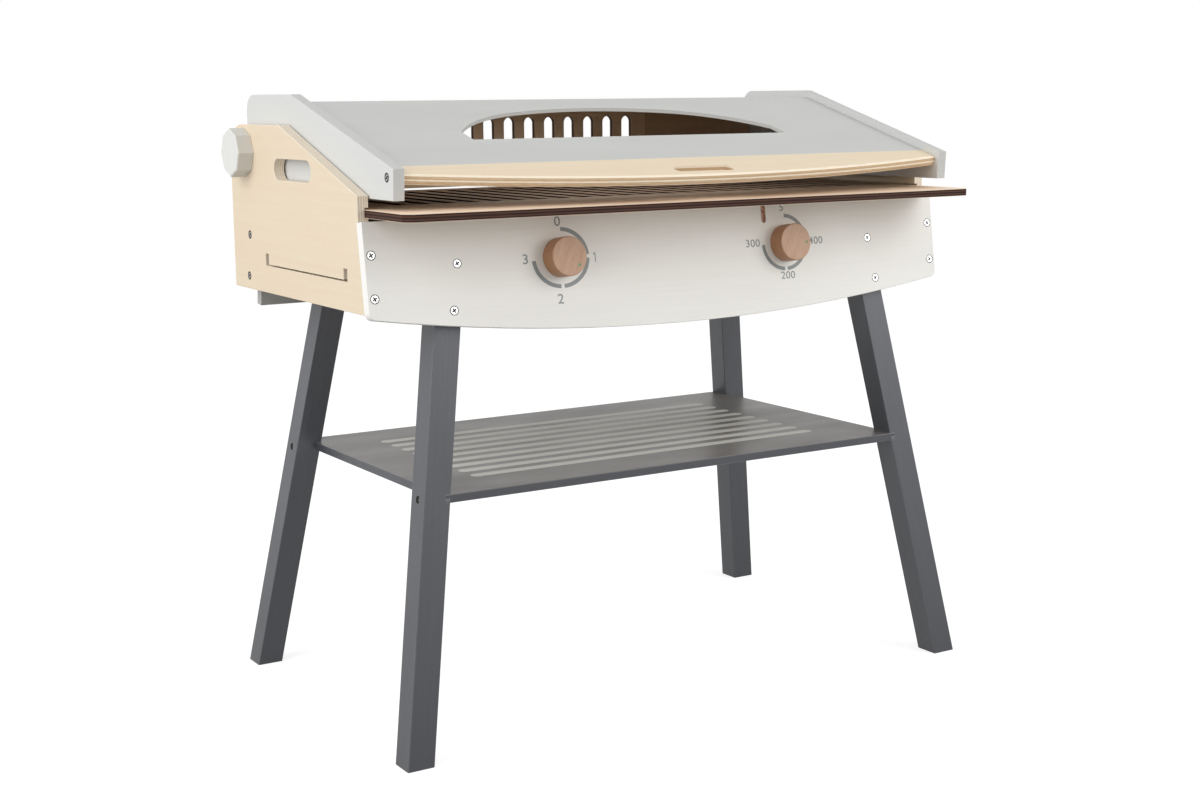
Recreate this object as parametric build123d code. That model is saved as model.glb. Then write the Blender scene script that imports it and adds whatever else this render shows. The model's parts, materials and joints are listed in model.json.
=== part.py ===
from build123d import *
import os
from math import atan, atan2, cos, hypot, sin

# A child's toy barbecue grill made of plywood and square bars. Millimetres, Z up, front towards -Y.
# X and Y are first measured from the middle of the shelf. save() then centres the whole grill.

# Boards
PLY = 12.0  # side panels, front and back panels, lid cheeks, handle board
THIN_PLY = 6.0  # bottom board, vent board, top board of the lid
GROOVE = 4.0  # depth of the grooves that thin boards sit in
FIT = 0.3  # gap between a moving piece and what it rests on or slides in
EDGE = 0.8  # softened edges

# Legs: square bars that lean in both ways, cut flat at the floor
LEG = 30.0
FOOT_X, FOOT_Y = 353.3, 205.5  # middle of a foot
HEAD_X, HEAD_Y = 266.1, 131.3  # middle of a leg's upper end

# Shelf
SHELF_X, SHELF_Y = 300.0, 183.0
SHELF_T = 9.0
SHELF_TOP = 271.6

# Body: the front and back panels lie on the outer faces of the leaning legs.
# Its levels are stacked up from the lower edge of the side panels.
BODY_X = 370.5  # outer face of the side panels
BODY_LOW = 457.6
BOTTOM_RISE = 4.4
FRONT_X = 372.0
FRONT_DROP, FRONT_ARCH, FRONT_H = 2.6, 29.0, 96.0
FRONT_CORNER = 8.0
FRONT_END = BODY_LOW - FRONT_DROP
FRONT_TOP = FRONT_END + FRONT_H
BACK_DROP, BACK_GAP = 18.6, 3.0  # back panel below the sides' lower edge and short of the grate
BACK_LOW = BODY_LOW - BACK_DROP
BOTTOM_LOW = BODY_LOW + BOTTOM_RISE
LEG_DROP = 21.0  # tops of the legs below the top of the front panel
LEG_TOP = FRONT_TOP - LEG_DROP

# Grate board, which slides forward in grooves of the side panels
GRATE_PLY = 8.0
GRATE_RISE = 3.0  # above the top of the front panel
GRATE_LOW = FRONT_TOP + GRATE_RISE
GRATE_TOP = GRATE_LOW + GRATE_PLY
GRATE_FRONT, GRATE_BACK = -236.5, 168.5
GRATE_CORNER = 8.0
GRATE_PLAY = 2.2  # free height of the groove above the board
GRATE_SLOTS, SLOT_PITCH = 22, 28.2
GRATE_SLOT_W = 14.0
GRATE_SLOT_FRONT, GRATE_SLOT_REAR = 140.5, 30.5  # from the board's front and back edges

# Side panels, with the hand hole and a thin slot that turns up at both ends
SIDE_EAR, SIDE_RISE = 13.8, 67.5  # front corner above the grate, and top above that corner
SIDE_FRONT_TOP = GRATE_TOP + SIDE_EAR
SIDE_TOP = SIDE_FRONT_TOP + SIDE_RISE
SIDE_SLOPE_END = 56.8  # where the sloping edge meets the level top
SIDE_BACK = 205.5
SIDE_CORNER = 35.0
HAND_HOLE_Y, HAND_HOLE_DROP = 22.9, 47.5
HAND_HOLE_SIZE = (102.7, 23.0)
USLOT_Y = (-114.6, 107.9)
USLOT_RISE, USLOT_H = 30.4, 13.7
USLOT_END, USLOT_THIN = 9.5, 2.0

# Short slot beside the right dial, cut down from the front panel's upper edge
NICHE_X, NICHE_LENGTH = 121.0, 22.6
NICHE_W, NICHE_DEPTH = 6.5, 3.0

# Lid, seen from the side: its levels are stacked up from the grate
LID_X = 356.5  # outer face of the cheeks
LID_GAP, LID_FRONT_H, LID_RISE = 10.7, 31.1, 72.2
LID_LOW = GRATE_TOP + LID_GAP
LID_FRONT = (-199.7, LID_LOW + LID_FRONT_H)
LID_RUN = 253.7
LID_TOP_FRONT = (LID_FRONT[0] + LID_RUN, LID_FRONT[1] + LID_RISE)
LID_FRONT_LEAN = 2.0  # foot of the cheeks' front edge behind its top
LID_BACK_INSET = 20.0
LID_BACK = SIDE_BACK - LID_BACK_INSET
LID_CORNER = 20.0
LID_INSET = 6.4  # the sloping boards lie this far under the cheeks' edges
SLOPE_PLY = 4.0
TOP_JOINT = 1.0  # gap between the window panel's upper end and the top board
# Places on the slope are measured upwards from the cheeks' front corner
HANDLE_END, HANDLE_MIDDLE, PANEL_START = 3.5, -30.5, 27.0
PANEL_STOP = 7.774  # window panel's upper end short of the cheeks' upper corner
BOW_EDGE = 4.0
WINDOW_X, WINDOW_LOW, WINDOW_END, WINDOW_TOP = 206.5, 108.5, 137.0, 219.0
WINDOW_MIDDLE = -6.0  # a little left of the lid's middle
SHOULDER_X, SHOULDER_DROP = 105.0, 13.0  # where the window's flat arc turns into the tighter ones
FINGER_SLOT, FINGER_PLACE = (77.0, 17.0), (3.6, -11.0)
LID_SCREW_V = 12.0
VENT_INSET, VENT_GAP = 15.5, 2.0  # vent board from the lid's back edge and above the grate
VENT_BEVEL = 4.5  # lets the board's lower edge swing clear of the grate
VENT_Y = LID_BACK - VENT_INSET
VENT_LOW = GRATE_TOP + VENT_GAP
VENTS, VENT_PITCH, VENT_W = 11, 28.6, 14.7
VENT_MIDDLE = 4.9  # the row stands a little right of the lid's middle
VENT_FOOT, VENT_HEAD = 30.0, 15.7  # vents from the board's lower and upper edges

# Pivot knobs, whose bolts carry the lid
PIVOT_INSET, PIVOT_RISE = 25.9, 39.3
PIVOT = (LID_BACK - PIVOT_INSET, LID_LOW + PIVOT_RISE)
KNOB_R, KNOB_T = 27.3, 18.0
KNOB_EDGE = 1.2
BOLT_D, BOLT_IN_KNOB = 8.0, 10.8
BOLT_TAIL = 5.5  # past the inner face of the cheek
RUNNING = 0.08  # radial clearance of a shaft in its hole
NUT_D, NUT_T = 19.0, 2.0

# Dials on the front panel
DIAL_X, DIAL_DROP = 148.8, 46.4
DIAL_Z = FRONT_TOP - DIAL_DROP
DIAL_D, DIAL_T = 41.8, 20.0
DIAL_GAP = 0.5
SPINDLE_D, SPINDLE_IN_KNOB = 8.0, 9.0
COLLAR_D, COLLAR_T = 16.0, 2.5
DOT_D, DOT_DEPTH, DOT_R = 3.6, 0.4, 14.6
DOT_ANGLE = {"left": -42.0, "right": -4.0}  # from three o'clock

# Countersunk cross-head screws
SCREW_D, HEAD_D, HEAD_H = 4.0, 8.7, 2.6
CROSS_L, CROSS_W, CROSS_DEPTH = 5.4, 1.6, 1.5
PANEL_SCREW, SIDE_SCREW, SHELF_SCREW, HANDLE_SCREW = 32.0, 36.0, 46.0, 34.0
SHELF_SCREW_SUNK = 2.0
CROSS_ANGLE = 30.0
# Below the panel's top and above its lower end
EDGE_SCREW_DROP, EDGE_SCREW_RISE = 33.0, 20.0
LEG_SCREW_DROP, LEG_SCREW_RISE = 46.0, 3.0
SIDE_SCREW_DROP, SIDE_SCREW_RISE = 31.3, 15.0

# The box round everything reaches from the grate's front edge to the back feet
Y_SHIFT = -(GRATE_FRONT + FOOT_Y + LEG / 2) / 2

os.makedirs("parts", exist_ok=True)


def save(shape, name):
    export_step(Pos(0, Y_SHIFT, 0) * shape, f"parts/{name}.step")


def both_sides(shape, name):
    """Saves a right-hand piece and its mirror image."""
    save(shape, f"{name}_right")
    save(mirror(shape, Plane.YZ), f"{name}_left")


def box(x, y, z):
    """A box from three (low, high) pairs."""
    size = [high - low for low, high in (x, y, z)]
    middle = [(high + low) / 2 for low, high in (x, y, z)]
    return Pos(*middle) * Box(*size)


def seen_from_side(outline, x, thickness):
    """A board whose outline is drawn in Y and Z, from x outwards."""
    return extrude(Plane.YZ.offset(x) * outline, thickness, dir=(1, 0, 0))


def slot(size, centre, rotation=0):
    """An oblong with round ends: its whole length and its width."""
    return Pos(*centre) * SlotOverall(*size, rotation=rotation)


LEAN_X = (FOOT_X - HEAD_X) / LEG_TOP  # millimetres inwards for each millimetre up
LEAN_Y = (FOOT_Y - HEAD_Y) / LEG_TOP
LEAN = atan(LEAN_Y)

# Leaning planes. Local X runs along the panel, local Y up the slope, local Z out of its outer face.
LEG_FACE_Y = FOOT_Y + LEG / 2
FRONT_PLANE = Plane((0, -LEG_FACE_Y, 0), x_dir=(1, 0, 0), z_dir=(0, -cos(LEAN), sin(LEAN)))
BACK_PLANE = Plane((0, LEG_FACE_Y, 0), x_dir=(-1, 0, 0), z_dir=(0, cos(LEAN), sin(LEAN)))


def up_panel(z):
    """How far up a leaning panel its outer face reaches the level z."""
    return (z - PLY * sin(LEAN)) / cos(LEAN)


def leg_face(z):
    """Distance of the legs' outer face, front or back, from the middle at the level z."""
    return LEG_FACE_Y - LEAN_Y * z


def screw_shape(length):
    head = Pos(0, 0, -HEAD_H / 2) * Cone(SCREW_D / 2, HEAD_D / 2, HEAD_H)
    return head + Pos(0, 0, -(HEAD_H + length) / 2) * Cylinder(SCREW_D / 2, length - HEAD_H)


def screw(length):
    """A screw with its head flush at the local XY plane and its shank along -Z."""
    cross = Box(CROSS_L, CROSS_W, 2 * CROSS_DEPTH) + Box(CROSS_W, CROSS_L, 2 * CROSS_DEPTH)
    return screw_shape(length) - Rot(0, 0, CROSS_ANGLE) * cross


def placed(places, piece):
    return [place * piece for place in places]


def panel_places(plane, xs_and_heights):
    outer = plane.offset(PLY)
    return [outer * Pos(side * x, up_panel(z), 0) for x, z in xs_and_heights for side in (-1, 1)]


def leg_x(z):
    return FOOT_X - LEAN_X * z


EDGE_SCREW_Z = (FRONT_TOP - EDGE_SCREW_DROP, FRONT_END + EDGE_SCREW_RISE)
LEG_SCREW_Z = (FRONT_TOP - LEG_SCREW_DROP, FRONT_END + LEG_SCREW_RISE)
SIDE_SCREW_Z = (FRONT_TOP - SIDE_SCREW_DROP, BODY_LOW + SIDE_SCREW_RISE)
EDGE_SCREWS = [(BODY_X - PLY / 2, z) for z in EDGE_SCREW_Z]
LEG_SCREWS = [(leg_x(z), z) for z in LEG_SCREW_Z]
FRONT_PLACES = panel_places(FRONT_PLANE, EDGE_SCREWS + LEG_SCREWS)
BACK_PLACES = panel_places(BACK_PLANE, LEG_SCREWS)
SIDE_PLACES = [
    Pos(side * BODY_X, leg_face(z) + PLY / 2 / cos(LEAN), z) * Rot(0, side * 90, 0)
    for z in SIDE_SCREW_Z
    for side in (-1, 1)
]
SHELF_MIDDLE = SHELF_TOP - SHELF_T / 2
SHELF_SCREW_X = leg_x(SHELF_MIDDLE) + LEG / 2 - SHELF_SCREW_SUNK
SHELF_PLACES = [
    Pos(sx * SHELF_SCREW_X, sy * (leg_face(SHELF_MIDDLE) - LEG / 2), SHELF_MIDDLE) * Rot(0, sx * 90, 0)
    for sx in (-1, 1)
    for sy in (-1, 1)
]


def drilled(shape, places, length):
    for hole in placed(places, screw_shape(length)):
        shape -= hole
    return shape


def leg_bar(sx, sy, side):
    foot = Pos(sx * FOOT_X, sy * FOOT_Y, 0) * Rectangle(side, side)
    lean = Vector(-sx * LEAN_X, -sy * LEAN_Y, 1)
    return extrude(foot, LEG_TOP * lean.length, dir=lean)


def make_shelf():
    shelf = box((-SHELF_X, SHELF_X), (-SHELF_Y, SHELF_Y), (SHELF_TOP - SHELF_T, SHELF_TOP))
    return fillet(shelf.edges().filter_by(Axis.X), EDGE)


def make_leg(sx, sy, shelf):
    leg = leg_bar(sx, sy, LEG)
    leg = fillet(leg.edges().filter_by(lambda edge: edge.length > LEG_TOP), EDGE)
    leg -= shelf
    sunk = Pos(sx * SHELF_SCREW_SUNK, 0, 0)
    well = Cylinder(HEAD_D / 2, 2 * SHELF_SCREW_SUNK)
    for place in SHELF_PLACES:
        leg -= sunk * place * well
    leg = drilled(leg, SHELF_PLACES, SHELF_SCREW)
    return drilled(leg, FRONT_PLACES + BACK_PLACES, PANEL_SCREW)


def make_side_panel(bottom):
    """The right-hand side panel."""
    front = -leg_face(FRONT_TOP)
    outline = Polygon(
        (-leg_face(BODY_LOW), BODY_LOW),
        (front, FRONT_TOP),
        (front, SIDE_FRONT_TOP),
        (SIDE_SLOPE_END, SIDE_TOP),
        (SIDE_BACK, SIDE_TOP),
        (SIDE_BACK, BODY_LOW),
        align=None,
    )
    corner = outline.vertices().sort_by(Axis.Y)[-2:].sort_by(Axis.X)[-1]
    outline = fillet(corner, SIDE_CORNER) - slot(HAND_HOLE_SIZE, (HAND_HOLE_Y, SIDE_TOP - HAND_HOLE_DROP))
    panel = seen_from_side(outline, BODY_X - PLY, PLY)
    panel = fillet(panel.faces().sort_by(Axis.X)[-1].edges(), EDGE)

    inner_x, outer_x = BODY_X - PLY, BODY_X
    slot_low = BODY_LOW + USLOT_RISE
    panel -= box((inner_x, outer_x), USLOT_Y, (slot_low, slot_low + USLOT_THIN))
    for end, into in zip(USLOT_Y, (USLOT_END, -USLOT_END)):
        panel -= box((inner_x, outer_x), sorted((end, end + into)), (slot_low, slot_low + USLOT_H))
    panel -= box((inner_x, inner_x + GROOVE), (-SIDE_BACK, GRATE_BACK + FIT),
                 (GRATE_LOW - FIT, GRATE_TOP + GRATE_PLAY))
    panel -= Pos(0, *PIVOT) * Rot(0, 90, 0) * Cylinder(BOLT_D / 2 + RUNNING, 3 * BODY_X)
    panel -= bottom
    return drilled(drilled(panel, FRONT_PLACES, PANEL_SCREW), SIDE_PLACES, SIDE_SCREW)


def make_front_panel():
    top, end, low = (up_panel(z) for z in (FRONT_TOP, FRONT_END, FRONT_END - FRONT_ARCH))
    straight = Polyline((-FRONT_X, end), (-FRONT_X, top), (FRONT_X, top), (FRONT_X, end))
    curve = ThreePointArc((FRONT_X, end), (0, low), (-FRONT_X, end))
    outline = make_face(straight.edges() + curve.edges())
    outline = fillet(outline.vertices().sort_by(Axis.Y)[:2], FRONT_CORNER)
    panel = extrude(FRONT_PLANE * outline, PLY)
    panel = fillet(panel.faces().sort_by(Axis.Y)[0].edges(), EDGE)

    length = 2 * (top - up_panel(FRONT_TOP - NICHE_LENGTH))
    niche = slot((length, NICHE_W), (NICHE_X, top), 90)
    panel -= extrude(FRONT_PLANE.offset(PLY) * niche, -NICHE_DEPTH)
    for side in (-1, 1):
        bore = Cylinder(SPINDLE_D / 2 + RUNNING, 3 * PLY)
        panel -= FRONT_PLANE * Pos(side * DIAL_X, up_panel(DIAL_Z), 0) * bore
    return drilled(panel, FRONT_PLACES, PANEL_SCREW)


def make_back_panel():
    width = 2 * (BODY_X - PLY)
    low, top = up_panel(BACK_LOW), up_panel(GRATE_LOW - BACK_GAP)
    outline = Pos(0, (low + top) / 2) * Rectangle(width, top - low)
    panel = extrude(BACK_PLANE * outline, PLY)
    panel = fillet(panel.edges().filter_by(Axis.X), EDGE)
    return drilled(drilled(panel, BACK_PLACES, PANEL_SCREW), SIDE_PLACES, SIDE_SCREW)


def make_bottom_board():
    half_x = BODY_X - PLY + GROOVE
    half_y = leg_face(BOTTOM_LOW + THIN_PLY)
    board = box((-half_x, half_x), (-half_y, half_y), (BOTTOM_LOW, BOTTOM_LOW + THIN_PLY))
    for sx in (-1, 1):
        for sy in (-1, 1):
            board -= leg_bar(sx, sy, LEG + 2 * FIT)
    return board


def make_grate():
    half_x = BODY_X - PLY + GROOVE - FIT
    length = GRATE_BACK - GRATE_FRONT
    outline = Pos(0, (GRATE_FRONT + GRATE_BACK) / 2) * Rectangle(2 * half_x, length)
    outline = chamfer(outline.vertices().sort_by(Axis.Y)[:2], GRATE_CORNER)
    slot_start, slot_end = GRATE_FRONT + GRATE_SLOT_FRONT, GRATE_BACK - GRATE_SLOT_REAR
    for index in range(GRATE_SLOTS):
        x = (index - (GRATE_SLOTS - 1) / 2) * SLOT_PITCH
        size = (slot_end - slot_start, GRATE_SLOT_W)
        outline -= slot(size, (x, (slot_start + slot_end) / 2), 90)
    return extrude(Plane.XY.offset(GRATE_LOW) * outline, GRATE_PLY)


# The lid's sloping plane: the upper faces of its window panel and handle board
SLOPE = atan2(LID_RISE, LID_RUN)
PANEL_END = hypot(LID_RUN, LID_RISE) - PANEL_STOP
SLOPE_EDGE = Plane((0, *LID_FRONT), x_dir=(1, 0, 0), z_dir=(0, -sin(SLOPE), cos(SLOPE)))
SLOPE_PLANE = SLOPE_EDGE.offset(-LID_INSET)
LID_INNER = LID_X - PLY


def on_slope(v, depth=0.0):
    """Y and Z of a point at v up the slope and at a depth below the sloping faces."""
    down = LID_INSET + depth
    y = LID_FRONT[0] + v * cos(SLOPE) + down * sin(SLOPE)
    z = LID_FRONT[1] + v * sin(SLOPE) - down * cos(SLOPE)
    return y, z


def make_window_panel():
    """The painted sloping board with the D-shaped window."""
    half_x = LID_INNER + GROOVE
    outline = Pos(0, (PANEL_START + PANEL_END) / 2) * Rectangle(2 * half_x, PANEL_END - PANEL_START)
    straight = Polyline(
        (-WINDOW_X, WINDOW_END), (-WINDOW_X, WINDOW_LOW), (WINDOW_X, WINDOW_LOW), (WINDOW_X, WINDOW_END)
    )
    shoulder = WINDOW_TOP - SHOULDER_DROP
    arch = ThreePointArc((-SHOULDER_X, shoulder), (0, WINDOW_TOP), (SHOULDER_X, shoulder))
    right = TangentArc(arch @ 1, (WINDOW_X, WINDOW_END), tangent=arch % 1)
    left = mirror(right, Plane.YZ)
    window = make_face(straight.edges() + right.edges() + arch.edges() + left.edges())
    outline -= Pos(WINDOW_MIDDLE, 0) * window
    return extrude(SLOPE_PLANE * outline, -SLOPE_PLY)


HANDLE_PLACES = [
    Pos(side * LID_X, *on_slope(LID_SCREW_V, PLY / 2)) * Rot(0, side * 90, 0) for side in (-1, 1)
]


def make_handle_board():
    """The bow-fronted handle board, with its finger slot."""
    straight = Polyline(
        (LID_INNER, HANDLE_END), (LID_INNER, PANEL_START), (-LID_INNER, PANEL_START), (-LID_INNER, HANDLE_END)
    )
    bow = ThreePointArc((-LID_INNER, HANDLE_END), (0, HANDLE_MIDDLE), (LID_INNER, HANDLE_END))
    outline = make_face(straight.edges() + bow.edges())
    outline -= slot(FINGER_SLOT, FINGER_PLACE)
    board = extrude(SLOPE_PLANE * outline, -PLY)
    bow_edges = board.edges().filter_by(GeomType.CIRCLE).filter_by(lambda edge: edge.length > LID_INNER)
    board = fillet(bow_edges, BOW_EDGE)
    return drilled(board, HANDLE_PLACES, HANDLE_SCREW)


def top_board_box():
    half_x = LID_INNER + GROOVE
    front = on_slope(PANEL_END, SLOPE_PLY)[0] + TOP_JOINT
    top = on_slope(PANEL_END)[1]
    return box((-half_x, half_x), (front, VENT_Y + THIN_PLY), (top - THIN_PLY, top))


def make_vent_board():
    half_x = LID_INNER + GROOVE
    top = on_slope(PANEL_END)[1] - THIN_PLY
    board = box((-half_x, half_x), (VENT_Y, VENT_Y + THIN_PLY), (VENT_LOW, top))
    low_edges = board.edges().filter_by(Axis.X).group_by(Axis.Z)[0]
    board = chamfer(low_edges.sort_by(Axis.Y)[-1], VENT_BEVEL)
    vent_low, vent_high = VENT_LOW + VENT_FOOT, top - VENT_HEAD
    for index in range(VENTS):
        x = VENT_MIDDLE + (index - (VENTS - 1) / 2) * VENT_PITCH
        vent = slot((vent_high - vent_low, VENT_W), (x, (vent_low + vent_high) / 2), 90)
        board -= extrude(Plane.XZ.offset(-VENT_Y - THIN_PLY) * vent, THIN_PLY)
    return board


def make_cheek(boards):
    """The lid's right-hand cheek, grooved for the lid's thin boards."""
    front_y, front_z = LID_FRONT
    outline = Polygon(
        (front_y + LID_FRONT_LEAN, LID_LOW),
        (front_y, front_z),
        LID_TOP_FRONT,
        (LID_BACK, LID_TOP_FRONT[1]),
        (LID_BACK, LID_LOW),
        align=None,
    )
    corner = outline.vertices().sort_by(Axis.X)[-2:].sort_by(Axis.Y)[-1]
    outline = fillet(corner, LID_CORNER)
    cheek = seen_from_side(outline, LID_INNER, PLY)
    cheek = fillet(cheek.faces().sort_by(Axis.X)[-1].edges(), EDGE)
    for board in boards:
        cheek -= board
    cheek -= Pos(0, *PIVOT) * Rot(0, 90, 0) * Cylinder(BOLT_D / 2 + RUNNING, 3 * LID_X)
    return drilled(cheek, HANDLE_PLACES, HANDLE_SCREW)


def make_pivot():
    """The right-hand clamping knob, its bolt and the flanged nut in the cheek."""
    start = BODY_X + FIT
    octagon = RegularPolygon(KNOB_R, 8)
    knob = extrude(Plane.YZ.offset(start) * Pos(*PIVOT) * octagon, KNOB_T)
    knob = chamfer(knob.faces().sort_by(Axis.X)[-1].edges(), KNOB_EDGE)
    bolt_x = (LID_INNER - BOLT_TAIL, start + BOLT_IN_KNOB)
    middle = Pos(sum(bolt_x) / 2, *PIVOT) * Rot(0, 90, 0)
    bolt = middle * Cylinder(BOLT_D / 2, bolt_x[1] - bolt_x[0])
    nut = Cylinder(NUT_D / 2, NUT_T) - Cylinder(BOLT_D / 2 + RUNNING, 2 * NUT_T)
    nut = Pos(LID_INNER - NUT_T / 2, *PIVOT) * Rot(0, 90, 0) * nut
    return knob - bolt, bolt, nut


def make_dial(side, name):
    """A dial knob and its spindle, whose collar holds it behind the panel."""
    place = FRONT_PLANE * Pos(side * DIAL_X, up_panel(DIAL_Z), 0)
    low, high = PLY + DIAL_GAP, PLY + DIAL_GAP + DIAL_T
    knob = Pos(0, 0, (low + high) / 2) * Cylinder(DIAL_D / 2, DIAL_T)
    knob = fillet(knob.edges().filter_by(GeomType.CIRCLE).sort_by(Axis.Z)[-1], KNOB_EDGE)
    dimple = Cylinder(DOT_D / 2, 2 * DOT_DEPTH)
    knob -= Rot(0, 0, DOT_ANGLE[name]) * Pos(DOT_R, 0, high) * dimple
    collar_top = -FIT
    spindle_top = low + SPINDLE_IN_KNOB
    length = spindle_top - collar_top
    spindle = Pos(0, 0, (spindle_top + collar_top) / 2) * Cylinder(SPINDLE_D / 2, length)
    spindle += Pos(0, 0, collar_top - COLLAR_T / 2) * Cylinder(COLLAR_D / 2, COLLAR_T)
    return place * (knob - spindle), place * spindle


shelf = make_shelf()
save(shelf - placed(SHELF_PLACES, screw_shape(SHELF_SCREW)), "shelf")
for sx, side in ((-1, "left"), (1, "right")):
    for sy, end in ((-1, "front"), (1, "back")):
        save(make_leg(sx, sy, shelf), f"leg_{end}_{side}")

bottom_board = make_bottom_board()
save(bottom_board, "bottom_board")
both_sides(make_side_panel(bottom_board), "side_panel")
save(make_front_panel(), "front_panel")
save(make_back_panel(), "back_panel")
save(Compound(placed(FRONT_PLACES, screw(PANEL_SCREW))), "front_screws")
save(Compound(placed(BACK_PLACES, screw(PANEL_SCREW))), "back_screws")
save(Compound(placed(SIDE_PLACES, screw(SIDE_SCREW))), "side_screws")
save(Compound(placed(SHELF_PLACES, screw(SHELF_SCREW))), "shelf_screws")

save(make_grate(), "grate_board")

window_panel = make_window_panel()
top_board = top_board_box()
vent_board = make_vent_board()
save(window_panel, "lid_window_panel")
save(top_board, "lid_top_board")
save(vent_board, "lid_vent_board")
save(make_handle_board(), "lid_handle_board")
both_sides(make_cheek([window_panel, top_board, vent_board]), "lid_cheek")
save(Compound(placed(HANDLE_PLACES, screw(HANDLE_SCREW))), "lid_screws")

pivot_knob, pivot_bolt, pivot_nut = make_pivot()
both_sides(pivot_knob, "pivot_knob")
both_sides(pivot_bolt, "pivot_bolt")
both_sides(pivot_nut, "pivot_nut")

for dial_side, dial_name in ((-1, "left"), (1, "right")):
    dial_knob, spindle = make_dial(dial_side, dial_name)
    save(dial_knob, f"dial_knob_{dial_name}")
    save(spindle, f"dial_spindle_{dial_name}")
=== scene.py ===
import json
import math
import bmesh
import bpy
from mathutils import Matrix, Vector


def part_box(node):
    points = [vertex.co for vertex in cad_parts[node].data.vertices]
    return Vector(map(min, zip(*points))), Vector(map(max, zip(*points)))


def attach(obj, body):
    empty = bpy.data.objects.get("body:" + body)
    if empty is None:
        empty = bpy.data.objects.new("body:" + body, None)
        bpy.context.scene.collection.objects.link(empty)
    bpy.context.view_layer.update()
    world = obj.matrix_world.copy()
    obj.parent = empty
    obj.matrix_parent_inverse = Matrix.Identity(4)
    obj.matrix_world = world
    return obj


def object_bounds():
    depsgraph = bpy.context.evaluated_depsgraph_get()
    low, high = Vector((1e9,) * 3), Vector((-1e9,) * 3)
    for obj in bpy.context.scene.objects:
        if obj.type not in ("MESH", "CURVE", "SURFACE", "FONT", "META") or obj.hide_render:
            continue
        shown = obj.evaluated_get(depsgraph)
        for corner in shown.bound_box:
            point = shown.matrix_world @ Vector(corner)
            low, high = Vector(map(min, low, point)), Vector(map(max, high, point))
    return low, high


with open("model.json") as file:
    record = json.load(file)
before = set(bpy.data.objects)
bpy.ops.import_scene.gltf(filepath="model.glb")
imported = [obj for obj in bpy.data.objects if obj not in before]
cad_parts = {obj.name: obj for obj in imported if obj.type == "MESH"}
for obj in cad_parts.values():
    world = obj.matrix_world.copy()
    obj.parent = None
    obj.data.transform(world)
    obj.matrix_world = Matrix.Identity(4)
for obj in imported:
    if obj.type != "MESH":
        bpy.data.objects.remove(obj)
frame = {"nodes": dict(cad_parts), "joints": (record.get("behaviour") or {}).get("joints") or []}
cad_low, cad_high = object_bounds()
nodes = frame["nodes"]


# Legs
# Four square bars of soft hardwood, planed, sawn level at the floor and notched for the shelf.
# They are sprayed with satin charcoal lacquer and screwed to the front and back panels.
LEG_SIDE = 0.030
leg_low, leg_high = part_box("leg_front_right")
leg_height = leg_high.z - leg_low.z
LEG_LEAN = (
    (leg_high.x - leg_low.x - LEG_SIDE) / leg_height,
    (leg_high.y - leg_low.y - LEG_SIDE) / leg_height,
)
MIDDLE_Y = (leg_low.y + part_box("leg_back_right")[1].y) / 2
LEG_TONES = ("4B4D52", "55575C", "616368")
# Paler arrises: the spray pulls back there, and a painted highlight is added
ARRIS_HIGHLIGHT = "7C7D81"
# Painted shade: the bars get darker from this height down to their feet, for the shade near the floor
FOOT_SHADE_FROM, FOOT_SHADE = 0.46, "2B2D31"


def linear(code):
    """An sRGB hex colour as the linear colour that shaders take."""
    parts = [int(code[place : place + 2], 16) / 255 for place in (0, 2, 4)]
    return (*[part / 12.92 if part <= 0.04045 else ((part + 0.055) / 1.055) ** 2.4 for part in parts], 1.0)


def add_node(tree, kind, inputs=None, **settings):
    """Adds a shader node with its settings, and fills or links its inputs.

    Inputs are named, or numbered where the names repeat. Only sockets that the settings leave in
    use count, and a node that is given as a value stands for its first output in use.
    """
    made = tree.nodes.new("ShaderNode" + kind)
    for name, value in settings.items():
        setattr(made, name, value)
    in_use = [socket for socket in made.inputs if socket.enabled]
    for key, value in (inputs or {}).items():
        socket = in_use[key] if isinstance(key, int) else next(own for own in in_use if own.name == key)
        if isinstance(value, bpy.types.Node):
            value = next(output for output in value.outputs if output.enabled)
        if isinstance(value, bpy.types.NodeSocket):
            tree.links.new(value, socket)
        else:
            socket.default_value = value
    return made


def new_finish(name):
    """An empty material: its tree, and the place in the object at rest as a vector."""
    material = bpy.data.materials.new(name)
    material.use_nodes = True
    material.node_tree.nodes.clear()
    place = add_node(material.node_tree, "TexCoord").outputs["Object"]
    return material, material.node_tree, place


def surface(tree, colour, roughness, relief, depth, **constants):
    """The shader and the output, with a fine relief whose depth is in millimetres."""
    bump = add_node(tree, "Bump", {"Height": relief, "Distance": depth / 1000, "Strength": 1.0})
    inputs = {"Base Color": colour, "Roughness": roughness, "Normal": bump, **constants}
    add_node(tree, "OutputMaterial", {"Surface": add_node(tree, "BsdfPrincipled", inputs)})


def dress(material, *names):
    """Gives CAD nodes their finish."""
    for name in names:
        nodes[name].data.materials.clear()
        nodes[name].data.materials.append(material)


# Wood fibres and pores are 0.05 to 0.1 mm wide, too fine to show from where the camera stands, so
# they are drawn coarser, as streaks 1 to 2 mm wide. The orange peel of a sprayed coat is 2 mm wide.
def streaks(tree, place, length, width, seed):
    """Noise drawn out along X, the grain: a streak's length and width are in millimetres."""
    scale = (1000 / length, 1000 / width, 1000 / width)
    drawn = add_node(tree, "Mapping", {"Vector": place, "Location": (seed, seed, seed), "Scale": scale})
    return add_node(tree, "TexNoise", {"Vector": drawn, "Scale": 1.0, "Detail": 4.0, "Roughness": 0.55})


def arris_mask(tree, radius, most, start=0.995, end=0.78):
    """0 on the flat, rising to that most at a sharp edge. The radius of the rise is in millimetres.

    It starts and ends where the rounded face agrees that well with the flat one.
    """
    rounded = add_node(tree, "Bevel", {"Radius": radius / 1000}, samples=4)
    flat = add_node(tree, "NewGeometry").outputs["Normal"]
    agrees = add_node(tree, "VectorMath", {0: rounded, 1: flat}, operation="DOT_PRODUCT")
    return add_node(tree, "MapRange", {"Value": agrees, "From Min": start, "From Max": end, "To Max": most})
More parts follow.
